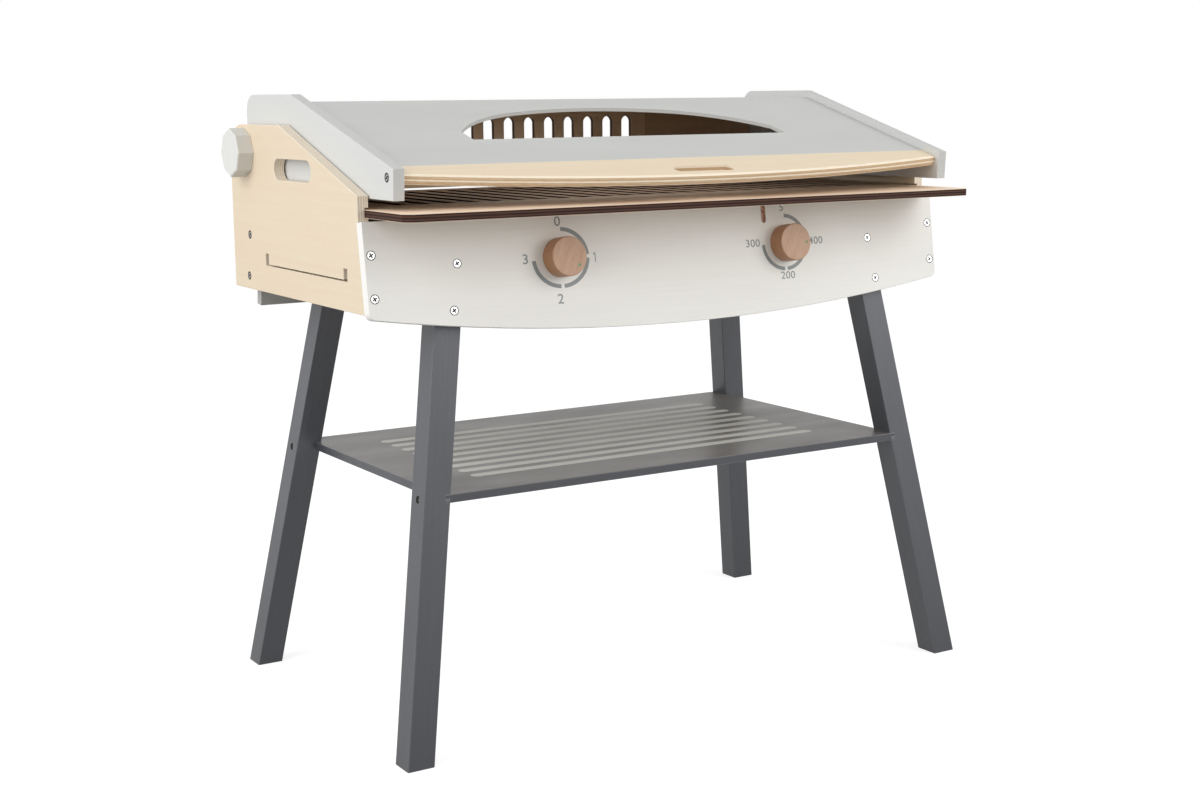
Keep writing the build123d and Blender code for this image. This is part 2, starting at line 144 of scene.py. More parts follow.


# Satin charcoal lacquer, sprayed thin on bare wood. It is dark and even from afar. Close by the
# grain shows in faint lighter streaks, the shine is broken up by the spray's fine orange peel, and
# the arrises are paler, partly where the spray pulls back and partly as a painted highlight.
def charcoal_lacquer(name, place_of, tones, edge_shade=None, foot_shade=None):
    """place_of turns the object's place into one with its X along the grain."""
    deep, light, fibres = tones
    material, tree, place = new_finish(name)
    place = place_of(tree, place)
    grain = streaks(tree, place, 90, 1.6, 3.0)
    cloud = streaks(tree, place, 120, 45, 8.0)
    peel = streaks(tree, place, 2.2, 1.8, 1.0)
    tone = add_node(tree, "Mix", {"Factor": cloud, "A": linear(deep), "B": linear(light)}, data_type="RGBA")
    fibre = add_node(tree, "MapRange", {"Value": grain, "From Min": 0.42, "From Max": 0.72, "To Max": 0.35})
    tone = add_node(tree, "Mix", {"Factor": fibre, "A": tone, "B": linear(fibres)}, data_type="RGBA")
    # Painted shade on faces that look sideways, such as the shelf's edges
    if edge_shade:
        facing = add_node(tree, "TexCoord").outputs["Normal"]
        up = add_node(tree, "SeparateXYZ", {"Vector": facing}).outputs["Z"]
        up = add_node(tree, "Math", {0: up}, operation="ABSOLUTE")
        edge = add_node(tree, "MapRange", {"Value": up, "From Min": 0.6, "From Max": 0.3})
        tone = add_node(tree, "Mix", {"Factor": edge, "A": tone, "B": linear(edge_shade)}, data_type="RGBA")
    # Painted shade, darker towards the feet
    if foot_shade:
        height = add_node(tree, "SeparateXYZ", {"Vector": place}).outputs["X"]
        low = {"Value": height, "From Min": FOOT_SHADE_FROM, "From Max": 0.0, "To Max": 0.70}
        low = add_node(tree, "MapRange", low)
        tone = add_node(tree, "Mix", {"Factor": low, "A": tone, "B": linear(foot_shade)}, data_type="RGBA")
    # Paler arrises, partly thin spray and partly a painted highlight
    arris = arris_mask(tree, 2.2, 0.40, 0.99, 0.80)
    tone = add_node(tree, "Mix", {"Factor": arris, "A": tone, "B": linear(ARRIS_HIGHLIGHT)}, data_type="RGBA")
    dull = {"Value": cloud, "From Min": 0.3, "From Max": 0.7, "To Min": 0.34, "To Max": 0.46}
    relief = add_node(tree, "Math", {0: grain, 1: peel}, operation="ADD")
    surface(tree, tone, add_node(tree, "MapRange", dull), relief, 0.04, IOR=1.5)
    return material


def along_the_leg(tree, place):
    """Upright grain that follows the leaning bars, the same in all four."""
    split = add_node(tree, "SeparateXYZ", {"Vector": place})
    up = split.outputs["Z"]
    side = add_node(tree, "Math", {0: split.outputs["X"]}, operation="ABSOLUTE")
    side = add_node(tree, "Math", {0: up, 1: LEG_LEAN[0], 2: side}, operation="MULTIPLY_ADD")
    depth = add_node(tree, "Math", {0: split.outputs["Y"], 1: MIDDLE_Y}, operation="SUBTRACT")
    depth = add_node(tree, "Math", {0: depth}, operation="ABSOLUTE")
    depth = add_node(tree, "Math", {0: up, 1: LEG_LEAN[1], 2: depth}, operation="MULTIPLY_ADD")
    return add_node(tree, "CombineXYZ", {"X": up, "Y": side, "Z": depth})


leg_lacquer = charcoal_lacquer("sprayed_charcoal_lacquer_on_legs", along_the_leg, LEG_TONES, foot_shade=FOOT_SHADE)
dress(leg_lacquer, "leg_front_left", "leg_front_right", "leg_back_left", "leg_back_right")


# Shelf
# A thin board in notches of the legs, screwed through them. It has the legs' lacquer with its
# grain along the width, but its top is painted lighter and warmer than the legs, as painted light,
# and its sawn edges darker, as painted shade. Nine pale grey stripes with round ends are
# screen-printed on it, like the bars of a rack.
# Painted light and shade: the top's tones are lighter than the legs', the edges' tone is darker
SHELF_LIT_TONES, SHELF_EDGE_SHADE = ("605D5B", "6B6865", "76736F"), "3F4146"
STRIPES, STRIPE_PITCH, STRIPE_WIDTH = 9, 0.0282, 0.0140
STRIPE_ENDS, STRIPE_MIDDLE = (-0.235, 0.226), 0.006
# A printed coat is 0.02 mm thick and is drawn thicker, to stand clear of the board
INK_THICKNESS = 0.00012


def as_it_lies(tree, place):
    """The shelf's grain is along the width, as the object's X is."""
    return place


def rounded_bar(start, end, width, steps=12):
    """Outline of a bar along X with half-round ends, as points in a plane."""
    points = []
    for centre, turn in ((end, -90), (start, 90)):
        for step in range(steps + 1):
            angle = math.radians(turn + 180 * step / steps)
            points.append((centre + width / 2 * math.cos(angle), width / 2 * math.sin(angle)))
    return points


def print_layer(name, outlines, matrix, body, ink):
    """A thin layer of ink, paint or painted shade: flat outlines on the plane of a matrix, raised a little.
    """
    mesh = bmesh.new()
    for outline in outlines:
        low = [mesh.verts.new((x, y, 0)) for x, y in outline]
        high = [mesh.verts.new((x, y, INK_THICKNESS)) for x, y in outline]
        mesh.faces.new(high)
        mesh.faces.new(low[::-1])
        for here in range(len(outline)):
            there = (here + 1) % len(outline)
            mesh.faces.new((low[here], low[there], high[there], high[here]))
    data = bpy.data.meshes.new(name)
    mesh.transform(matrix)
    mesh.to_mesh(data)
    mesh.free()
    piece = bpy.data.objects.new(name, data)
    bpy.context.scene.collection.objects.link(piece)
    data.materials.append(ink)
    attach(piece, body)


# Matt ink, screen-printed in one thin coat: an even grey without shine, with the slight mottle
# that the mesh of the screen leaves.
def screen_print_ink(name, light, dark):
    material, tree, place = new_finish(name)
    mottle = streaks(tree, place, 4.0, 4.0, 5.0)
    tone = add_node(tree, "Mix", {"Factor": mottle, "A": linear(dark), "B": linear(light)}, data_type="RGBA")
    surface(tree, tone, 0.55, mottle, 0.03, IOR=1.5)
    return material


shelf_lacquer = charcoal_lacquer("sprayed_charcoal_lacquer_on_shelf", as_it_lies, SHELF_LIT_TONES, SHELF_EDGE_SHADE)
dress(shelf_lacquer, "shelf")
stripe_ink = screen_print_ink("screen_printed_pale_grey_ink", "CDCDC8", "BCBCB8")
bar = rounded_bar(STRIPE_ENDS[0] + STRIPE_WIDTH / 2, STRIPE_ENDS[1] - STRIPE_WIDTH / 2, STRIPE_WIDTH)
stripe_places = [STRIPE_MIDDLE + (row - (STRIPES - 1) / 2) * STRIPE_PITCH for row in range(STRIPES)]
stripe_outlines = [[(x, y + middle) for x, y in bar] for middle in stripe_places]
shelf_top = Matrix.Translation((0, 0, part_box("shelf")[1].z))
print_layer("shelf_stripes", stripe_outlines, shelf_top, "stand", stripe_ink)


# Bottom board and side panels
# Birch plywood, cut by router and lacquered clear and matt. The side panels are screwed to the
# front and back panels. The bottom board lies in grooves of them, notched round the legs.
SIDE_PLY, BOTTOM_PLY = 0.012, 0.006
BIRCH_FACE, BIRCH_PLIES = ("DFD0B8", "D8C6AA", "DFC9AE"), ("F1E8DA", "DDCEB6", "AF9A7C")
# Nearly white arrises, partly sanded wood and partly a painted highlight
SANDED_HIGHLIGHT = "F9F1E2"
# This deep below a face a cut starts to show the plies, and the change is this soft either way
SKIN, SKIN_BLUR = 0.0003, 0.0001


class Board:
    """How a board lies: its grain, where its face looks, and how far that way its low face is.

    A mirrored board is the right one of a pair, and stands for the left one too.
    """

    def __init__(self, grain, face, low, thickness, plies=9, mirrored=False):
        self.grain, self.face = Vector(grain), Vector(face)
        self.low, self.thickness, self.plies = low, thickness, plies
        self.mirrored = mirrored


def board_space(tree, place, board):
    """A place in the board, along, across and up from its low face, that height, and 1 below its skin."""
    if board.mirrored:
        split = add_node(tree, "SeparateXYZ", {"Vector": place})
        right = add_node(tree, "Math", {0: split.outputs["X"]}, operation="ABSOLUTE")
        place = add_node(tree, "CombineXYZ", {"X": right, "Y": split.outputs["Y"], "Z": split.outputs["Z"]})
    along, across, out = [
        add_node(tree, "VectorMath", {0: place, 1: axis}, operation="DOT_PRODUCT")
        for axis in (board.grain, board.face.cross(board.grain), board.face)
    ]
    through = add_node(tree, "Math", {0: out, 1: board.low}, operation="SUBTRACT")
    own = add_node(tree, "CombineXYZ", {"X": along, "Y": across, "Z": through})
    middle = add_node(tree, "Math", {0: through, 1: board.thickness / 2}, operation="SUBTRACT")
    middle = add_node(tree, "Math", {0: middle}, operation="ABSOLUTE")
    skin = board.thickness / 2 - SKIN
    edge = {"Value": middle, "From Min": skin + SKIN_BLUR, "From Max": skin - SKIN_BLUR}
    return own, through, add_node(tree, "MapRange", edge)


def ply_edge(tree, own, through, board, light, dark, glue):
    """Colour of a sawn edge: plies of even thickness, long and end grain in turn, and thin glue lines."""
    level = add_node(tree, "Math", {0: through, 1: board.plies / board.thickness}, operation="MULTIPLY")
    ply = add_node(tree, "Math", {0: level}, operation="FLOOR")
    odd = add_node(tree, "Math", {0: ply, 1: 2.0}, operation="FLOORED_MODULO")
    tint = add_node(tree, "TexWhiteNoise", {"W": ply}, noise_dimensions="1D")
    tint = add_node(tree, "MapRange", {"Value": tint, "To Min": -0.12, "To Max": 0.12})
    fibre = streaks(tree, own, 30, 1.1, 11.0)
    share = {"Value": fibre, "From Min": 0.3, "From Max": 0.7, "To Min": -0.25, "To Max": 0.25}
    share = add_node(tree, "MapRange", share)
    share = add_node(tree, "Math", {0: share, 1: tint}, operation="ADD")
    share = add_node(tree, "Math", {0: share, 1: odd}, operation="ADD", use_clamp=True)
    tone = add_node(tree, "Mix", {"Factor": share, "A": linear(light), "B": linear(dark)}, data_type="RGBA")
    line = add_node(tree, "Math", {0: level}, operation="FRACT")
    line = add_node(tree, "Math", {0: line, 1: 0.5}, operation="SUBTRACT")
    line = add_node(tree, "Math", {0: line}, operation="ABSOLUTE")
    line = add_node(tree, "MapRange", {"Value": line, "From Min": 0.36, "From Max": 0.48, "To Max": 0.85})
    return add_node(tree, "Mix", {"Factor": line, "A": tone, "B": linear(glue)}, data_type="RGBA")


def veneer(tree, own, light, dark, flush, seed=0.0):
    """Colour and relief of a peeled face: a broad figure, soft streaks, fine fibres and a warm flush."""
    # The wave's bands repeat every tenth of pi, which these scales make 14.5 mm across the grain
    broad = {"Vector": own, "Location": (seed, 0.07 * seed, 0), "Scale": (1.1, 9.0, 9.0)}
    figure = {
        "Vector": add_node(tree, "Mapping", broad),
        "Scale": 2.4,
        "Distortion": 7.0,
        "Detail": 2.0,
        "Detail Scale": 0.9,
        "Phase Offset": 4.0 * seed,
    }
    figure = add_node(tree, "TexWave", figure, wave_type="BANDS", bands_direction="Y")
    streak = streaks(tree, own, 160, 5.0, 4.0 + seed)
    share = add_node(tree, "MapRange", {"Value": streak, "From Min": 0.30, "From Max": 0.72, "To Max": 0.40})
    share = add_node(tree, "Math", {0: figure, 1: 0.12, 2: share}, operation="MULTIPLY_ADD")
    fibre = streaks(tree, own, 22, 1.0, 6.0 + seed)
    fine = add_node(tree, "MapRange", {"Value": fibre, "From Min": 0.45, "From Max": 0.75, "To Max": 0.35})
    share = add_node(tree, "Math", {0: share, 1: fine}, operation="ADD", use_clamp=True)
    tone = add_node(tree, "Mix", {"Factor": share, "A": linear(light), "B": linear(dark)}, data_type="RGBA")
    bend = streaks(tree, own, 220, 60, 2.0 + seed)
    warm = add_node(tree, "MapRange", {"Value": bend, "From Min": 0.45, "From Max": 0.75, "To Max": 0.55})
    tone = add_node(tree, "Mix", {"Factor": warm, "A": tone, "B": linear(flush)}, data_type="RGBA")
    return tone, fibre


# Birch plywood under a clear matt lacquer. The faces are pale and quiet, with soft streaks and a
# low sheen. The sawn edges show the plies in light and dark lines, and the arrises are nearly
# white, partly sanded and partly a painted highlight.
def birch_plywood(name, tones, plies, board, seed=0.0):
    material, tree, place = new_finish(name)
    own, through, edge = board_space(tree, place, board)
    skin, fibre = veneer(tree, own, *tones, seed)
    cut = ply_edge(tree, own, through, board, *plies)
    tone = add_node(tree, "Mix", {"Factor": edge, "A": skin, "B": cut}, data_type="RGBA")
    sanded_highlight = arris_mask(tree, 1.0, 0.70)
    tone = add_node(tree, "Mix", {"Factor": sanded_highlight, "A": tone, "B": linear(SANDED_HIGHLIGHT)}, data_type="RGBA")
    surface(tree, tone, 0.52, fibre, 0.06, IOR=1.5)
    return material


side_board = Board((0, 1, 0), (1, 0, 0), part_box("side_panel_right")[0].x, SIDE_PLY, mirrored=True)
bottom_board = Board((1, 0, 0), (0, 0, 1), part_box("bottom_board")[0].z, BOTTOM_PLY, 5)
side_birch = birch_plywood("lacquered_birch_plywood_sides", BIRCH_FACE, BIRCH_PLIES, side_board)
bottom_birch = birch_plywood("lacquered_birch_plywood_bottom", BIRCH_FACE, BIRCH_PLIES, bottom_board, 2.0)
dress(side_birch, "side_panel_left", "side_panel_right")
dress(bottom_birch, "bottom_board")


# Front panel
# Plywood with an arched lower edge, sprayed off-white and screwed to the legs and the side panels.
# The short slot beside the right dial was cut after painting and is bare, scorched wood, and the
# paint is chipped at one spot of the lower edge.
PANEL_PLY = 0.012
CREAM = ("EBEAE5", "E0DED8", "EDECE8")
# The slot's middle, half its width, the height that it starts at, and how deep its walls are bare from
NICHE_X, NICHE_HALF, NICHE_LOW, NICHE_SUNK = 0.121, 0.0045, 0.5270, 0.0004
NICHE_WOOD, NICHE_SCORCH = "C9A38E", "6E4636"
CHIP_X, CHIP_HALF, CHIP_HEIGHT, CHIP_RAGGED = 0.101, 0.0052, 0.0030, 0.006
CHIP_WOOD = "E3BF9D"
front_data = nodes["front_panel"].data
front_face = max((face for face in front_data.polygons if face.normal.y < -0.9), key=lambda face: face.area)
FRONT_OUT = front_face.normal.copy()
FRONT_UP = FRONT_OUT.cross(Vector((1, 0, 0)))
front_level = front_face.center.dot(FRONT_OUT)
front_board = Board((1, 0, 0), FRONT_OUT, front_level - PANEL_PLY, PANEL_PLY)
# The arched edge's height at the chip, from the panel's own points
chip_low = min(point.co.z for point in front_data.vertices if abs(point.co.x - CHIP_X) < 0.03)


# Satin paint, sprayed on plywood. The colour is even with a soft cloudiness, the grain just shows
# as faint streaks, and the edges have a tone of their own, because they drink the paint.
def painted_plywood(name, tones, board, spots=None):
    """spots adds what is laid bare: it turns the place and the colour into the colour there."""
    colour, shade, rim = tones
    material, tree, place = new_finish(name)
    own, _, edge = board_space(tree, place, board)
    grain = streaks(tree, own, 140, 2.2, 7.0)
    cloud = streaks(tree, own, 200, 70, 9.0)
    peel = streaks(tree, own, 2.0, 1.8, 1.0)
    share = add_node(tree, "MapRange", {"Value": grain, "From Min": 0.40, "From Max": 0.75, "To Max": 0.25})
    share = add_node(tree, "Math", {0: cloud, 1: 0.60, 2: share}, operation="MULTIPLY_ADD", use_clamp=True)
    tone = add_node(tree, "Mix", {"Factor": share, "A": linear(colour), "B": linear(shade)}, data_type="RGBA")
    # The rim's tone; on the lid's cheeks it is also a painted shade
    tone = add_node(tree, "Mix", {"Factor": edge, "A": tone, "B": linear(rim)}, data_type="RGBA")
    if spots:
        tone = spots(tree, place, tone)
    dull = {"Value": cloud, "From Min": 0.3, "From Max": 0.7, "To Min": 0.46, "To Max": 0.58}
    relief = add_node(tree, "Math", {0: grain, 1: 0.6, 2: peel}, operation="MULTIPLY_ADD")
    surface(tree, tone, add_node(tree, "MapRange", dull), relief, 0.05, IOR=1.5)
    return material


def bare_spots(tree, place, tone):
    """Bare wood inside the short slot and at the chip of the lower edge."""
    split = add_node(tree, "SeparateXYZ", {"Vector": place})
    x, z = split.outputs["X"], split.outputs["Z"]
    out = add_node(tree, "VectorMath", {0: place, 1: FRONT_OUT}, operation="DOT_PRODUCT")
    sunk = add_node(tree, "Math", {0: out, 1: front_level - NICHE_SUNK}, operation="LESS_THAN")
    near = add_node(tree, "Math", {0: x, 1: NICHE_X, 2: NICHE_HALF}, operation="COMPARE")
    high = add_node(tree, "Math", {0: z, 1: NICHE_LOW}, operation="GREATER_THAN")
    niche = add_node(tree, "Math", {0: sunk, 1: near}, operation="MULTIPLY")
    niche = add_node(tree, "Math", {0: niche, 1: high}, operation="MULTIPLY")
    scorch = streaks(tree, place, 3.5, 3.5, 12.0)
    scorch = add_node(tree, "MapRange", {"Value": scorch, "From Min": 0.52, "From Max": 0.66, "To Max": 0.85})
    wood = {"Factor": scorch, "A": linear(NICHE_WOOD), "B": linear(NICHE_SCORCH)}
    wood = add_node(tree, "Mix", wood, data_type="RGBA")
    tone = add_node(tree, "Mix", {"Factor": niche, "A": tone, "B": wood}, data_type="RGBA")
    ragged = streaks(tree, place, 4.0, 3.0, 14.0)
    ragged = {0: ragged, 1: CHIP_RAGGED, 2: CHIP_HALF - CHIP_RAGGED / 2}
    ragged = add_node(tree, "Math", ragged, operation="MULTIPLY_ADD")
    offset = add_node(tree, "Math", {0: x, 1: CHIP_X}, operation="SUBTRACT")
    offset = add_node(tree, "Math", {0: offset}, operation="ABSOLUTE")
    chip = add_node(tree, "Math", {0: offset, 1: ragged}, operation="LESS_THAN")
    below = add_node(tree, "Math", {0: z, 1: chip_low + CHIP_HEIGHT}, operation="LESS_THAN")
    chip = add_node(tree, "Math", {0: chip, 1: below}, operation="MULTIPLY")
    return add_node(tree, "Mix", {"Factor": chip, "A": tone, "B": linear(CHIP_WOOD)}, data_type="RGBA")


dress(painted_plywood("sprayed_satin_cream_paint", CREAM, front_board, bare_spots), "front_panel")


# Print on the front panel
# Round each dial three grey arcs and four plain numbers are screen-printed, a little off the dial's
# middle. The left ring is a little wider than it is high.
DIAL_CENTRES = {
    side: Vector(joint["pos_m"])
    for side in ("left", "right")
    for joint in frame["joints"]
    if joint["name"] == "dial_turn_" + side
}
PRINT_SHIFT = {"left": (0.0008, 0.0011), "right": (-0.0008, 0.0011)}
ARC_OUTER, ARC_INNER, ARC_GAP = 0.0322, 0.0280, 0.0040
ARC_STARTS = (180, 270, 0)
# How wide each ring is for its height, and how far down it stands
RINGS = {"left": (1.09, -0.0014), "right": (1.0, 0.0)}
NUMBER_HEIGHT = {"left": 0.0104, "right": 0.0085}
NUMBER_WIDTH, NUMBER_WEIGHT, NUMBER_SPACING = 1.10, 0.006, 1.05
# Places of the numbers' middles from the middle of the ring
NUMBERS = {
    "left": {"0": (-0.0010, 0.0369), "2": (-0.0040, -0.0445), "3": (-0.0428, -0.0008)},
    "right": {
        "5": (-0.0012, 0.0398),
        "400": (0.0450, 0.0000),
        "200": (0.0018, -0.0375),
        "300": (-0.0446, 0.0008),
    },
}
# The one is drawn: a bar with a flag, in parts of its height
ONE = ((0.05, -0.5), (0.05, 0.5), (-0.03, 0.5), (-0.25, 0.31), (-0.20, 0.24), (-0.05, 0.36), (-0.05, -0.5))
ONE_PLACE = (0.0424, -0.0030)


def on_front(x, z):
    """The plane of the front panel's outer face, with its origin at that x and height."""
    y = (front_level - z * FRONT_OUT.z) / FRONT_OUT.y
    axes = Matrix((Vector((1, 0, 0)), FRONT_UP, FRONT_OUT)).transposed().to_4x4()
    return Matrix.Translation((x, y, z)) @ axes


def ring_piece(start, sweep, inner, outer, steps=24):
    """Outline of a piece of a ring, from an angle over a sweep in degrees."""
    angles = [math.radians(start + sweep * step / steps) for step in range(steps + 1)]
    rim = [(outer * math.cos(angle), outer * math.sin(angle)) for angle in angles]
    return rim + [(inner * math.cos(angle), inner * math.sin(angle)) for angle in reversed(angles)]


def number_piece(name, text, matrix, height, ink):
    """A printed number in a plain face, as tall as asked, its middle on the matrix's origin."""
    half_depth = 0.01
    letters = bpy.data.curves.new(name, "FONT")
    letters.body = text
    letters.offset = NUMBER_WEIGHT
    letters.space_character = NUMBER_SPACING
    letters.extrude = half_depth
    writing = bpy.data.objects.new(name + "_letters", letters)
    bpy.context.scene.collection.objects.link(writing)
    bpy.context.view_layer.update()
    data = bpy.data.meshes.new_from_object(writing.evaluated_get(bpy.context.evaluated_depsgraph_get()))
    bpy.data.objects.remove(writing)
    xs = [point.co.x for point in data.vertices]
    ys = [point.co.y for point in data.vertices]
    scale = height / (max(ys) - min(ys))
    middle = Vector(((max(xs) + min(xs)) / 2, (max(ys) + min(ys)) / 2, -half_depth))
    size = Matrix.Diagonal((scale * NUMBER_WIDTH, scale, INK_THICKNESS / (2 * half_depth), 1))
    data.transform(matrix @ size @ Matrix.Translation(-middle))
    data.name = name
    piece = bpy.data.objects.new(name, data)
    bpy.context.scene.collection.objects.link(piece)
    data.materials.clear()
    data.materials.append(ink)
    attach(piece, "stand")


dial_ink = screen_print_ink("screen_printed_grey_ink", "8E9393", "828887")
gap = math.degrees(ARC_GAP / 2 / ARC_OUTER)
for side, centre in DIAL_CENTRES.items():
    wide, drop = RINGS[side]
    tall = NUMBER_HEIGHT[side]
    middle = on_front(centre.x, centre.z) @ Matrix.Translation((*PRINT_SHIFT[side], 0))
    arcs = [ring_piece(start + gap, 90 - 2 * gap, ARC_INNER, ARC_OUTER) for start in ARC_STARTS]
    arcs = [[(x * wide, y + drop) for x, y in arc] for arc in arcs]
    print_layer("dial_arcs_" + side, arcs, middle, "stand", dial_ink)
    for text, (right, up) in NUMBERS[side].items():
        place = middle @ Matrix.Translation((right, up, 0))
        number_piece(f"dial_number_{side}_{text}", text, place, tall, dial_ink)
    if side == "left":
        one = [(x * tall, y * tall) for x, y in reversed(ONE)]
        place = middle @ Matrix.Translation((*ONE_PLACE, 0))
        print_layer("dial_number_left_1", [one], place, "stand", dial_ink)


# Back panel
# The same plywood as the front panel, sprayed light grey on both faces. It is screwed to the back
# legs and between the side panels. Its grey is painted darker than that, as painted shade for the
# lower strip that stands in shade below the body.
# Painted shade: a darker grey than the panel's light grey
BACK_GREY_SHADED = ("A9A8A4", "9F9E9A", "A5A4A0")
back_polygons = nodes["back_panel"].data.polygons
back_face = max((face for face in back_polygons if face.normal.y > 0.9), key=lambda face: face.area)
BACK_OUT = back_face.normal.copy()
back_level = back_face.center.dot(BACK_OUT)
back_board = Board((1, 0, 0), BACK_OUT, back_level - PANEL_PLY, PANEL_PLY)
dress(painted_plywood("sprayed_grey_paint_with_painted_shade_on_back", BACK_GREY_SHADED, back_board), "back_panel")


# Screws
# Countersunk cross-head screws of steel, plated with bright zinc. They are driven flush with the
# boards, and 2 mm deep in wells of the legs. A dark ring of painted shade parts each head from its
# board, for the shade in the gap of its countersink.
BODY_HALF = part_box("side_panel_right")[1].x
LID_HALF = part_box("lid_cheek_right")[1].x
WELL_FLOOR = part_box("shelf_screws")[1].x
HEAD_RADIUS, GAP_RADIUS = 0.00435, 0.00490
# The painted shade leaves this much of a head bare: less on the sides, and least in the wells of the legs
UNSHADED_RADIUS = {"panel": 0.0040, "side": 0.0030, "well": 0.0016}
# The last is the painted shade in the crosses
ZINC, ZINC_SMEAR, RECESS_SHADE = "F0F0EE", "D9DAD8", "171514"
# The painted shade in the countersinks, and its specks
COUNTERSINK_SHADE, SHADE_SPECKLE = "1C1917", "4A443F"


# Bright zinc plate, passivated clear: it mirrors its surroundings softly, with smears of about 1 mm
# from the driver and from hands. The crosses get a painted shade that hides the metal, and they
# look nearly black.
def zinc_plate(name, out=None, level=0.0, mirrored=False):
    """With an outward direction and the level of the heads, what lies deeper gets a dark painted shade."""
    material, tree, place = new_finish(name)
    smear = streaks(tree, place, 1.2, 0.9, 2.0)
    tone = {"Factor": smear, "A": linear(ZINC_SMEAR), "B": linear(ZINC)}
    tone = add_node(tree, "Mix", tone, data_type="RGBA")
    metal = 1.0
    if out:
        height = add_node(tree, "VectorMath", {0: place, 1: out}, operation="DOT_PRODUCT")
        if mirrored:
            height = add_node(tree, "Math", {0: height}, operation="ABSOLUTE")
        recess_shade = {"Value": height, "From Min": level - 0.0001, "From Max": level - 0.0003}
        recess_shade = add_node(tree, "MapRange", recess_shade)
        tone = add_node(tree, "Mix", {"Factor": recess_shade, "A": tone, "B": linear(RECESS_SHADE)}, data_type="RGBA")
        metal = add_node(tree, "Math", {0: 1.0, 1: recess_shade}, operation="SUBTRACT")
    dull = {"Value": smear, "From Min": 0.3, "From Max": 0.7, "To Min": 0.26, "To Max": 0.40}
    surface(tree, tone, add_node(tree, "MapRange", dull), smear, 0.01, Metallic=metal)
    return material


# Painted shade in the gap between a head and its countersink: a dull, nearly black ring, with
# specks of 0.9 mm.
def shade_in_countersinks(name):
    material, tree, place = new_finish(name)
    speckle = streaks(tree, place, 0.9, 0.9, 6.0)
    tone = add_node(tree, "Mix", {"Factor": speckle, "A": linear(COUNTERSINK_SHADE), "B": linear(SHADE_SPECKLE)}, data_type="RGBA")
    surface(tree, tone, 0.85, speckle, 0.05, IOR=1.5)
    return material


def head_places(name, out, level):
    """Middles of a node's screw heads that lie on one plane."""
    on_plane, one_head = 0.0001, 2.2 * HEAD_RADIUS
    flush = [point.co for point in nodes[name].data.vertices if abs(point.co.dot(out) - level) < on_plane]
    heads = []
    for place in flush:
        near = [head for head in heads if (head[0] - place).length < one_head]
        if near:
            near[0].append(place)
        else:
            heads.append([place])
    return [sum(head, Vector()) / len(head) for head in heads]


def shade_rings(name, node, out, level, inner, outer, body):
    """A thin ring of painted shade round each head of a node, in two halves."""
    out = Vector(out)
    turn = out.to_track_quat("Z", "Y").to_matrix().to_4x4()
    for number, place in enumerate(head_places(node, out, level), 1):
        halves = [ring_piece(start, 180, inner, outer, 12) for start in (0, 180)]
        print_layer(f"{name}_{number}", halves, Matrix.Translation(place) @ turn, body, countersink_shading)


dress(zinc_plate("bright_zinc_plate_front_screws", FRONT_OUT, front_level), "front_screws")
dress(zinc_plate("bright_zinc_plate_back_screws", BACK_OUT, back_level), "back_screws")
dress(zinc_plate("bright_zinc_plate_side_screws", (1, 0, 0), BODY_HALF, True), "side_screws")
dress(zinc_plate("bright_zinc_plate_lid_screws", (1, 0, 0), LID_HALF, True), "lid_screws")
bare_zinc = zinc_plate("bright_zinc_plate")
dress(bare_zinc, "shelf_screws")
countersink_shading = shade_in_countersinks("painted_shade_in_countersinks")
unshaded = UNSHADED_RADIUS["panel"]
shade_rings("front_screw_shade", "front_screws", FRONT_OUT, front_level, unshaded, GAP_RADIUS, "stand")
shade_rings("back_screw_shade", "back_screws", BACK_OUT, back_level, unshaded, GAP_RADIUS, "stand")
SIDE_SCREWS = (
    ("side_screw_dust_", "side_screws", BODY_HALF, UNSHADED_RADIUS["side"], GAP_RADIUS, "stand"),
    ("lid_screw_dust_", "lid_screws", LID_HALF, UNSHADED_RADIUS["side"], GAP_RADIUS, "lid"),
    ("shelf_screw_dust_", "shelf_screws", WELL_FLOOR, UNSHADED_RADIUS["well"], HEAD_RADIUS, "stand"),
)
for side, way in (("left", -1), ("right", 1)):
    for name, node, level, inner, outer, body in SIDE_SCREWS:
        shade_rings(name + side, node, (way, 0, 0), level, inner, outer, body)


# Grate board
# Thin birch plywood, cut by laser and left bare, which slides in grooves of the side panels. The
# front strip is plain, and the rest between the close cuts is browned, partly by smoke and partly
# by a painted shade for the lid above it.
# The brown of smoke and painted shade starts this far back
GRATE_PLY, SMOKE_AND_SHADE_FROM = 0.008, -0.088
GRATE_FACE = ("F8E2CB", "E6C6A6", "F4D6BC")
BURNT_PLIES, HAZE, SMOKE_AND_SHADE = ("1B0E0B", "55372B", "150A08"), "B98F70", "7E5A43"
# Right of a line the vents' veneer is mixed towards this darker tone
DARK_RIGHT_TONE = "B08A66"
grate_board = Board((1, 0, 0), (0, 0, 1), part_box("grate_board")[0].z, GRATE_PLY, 5)


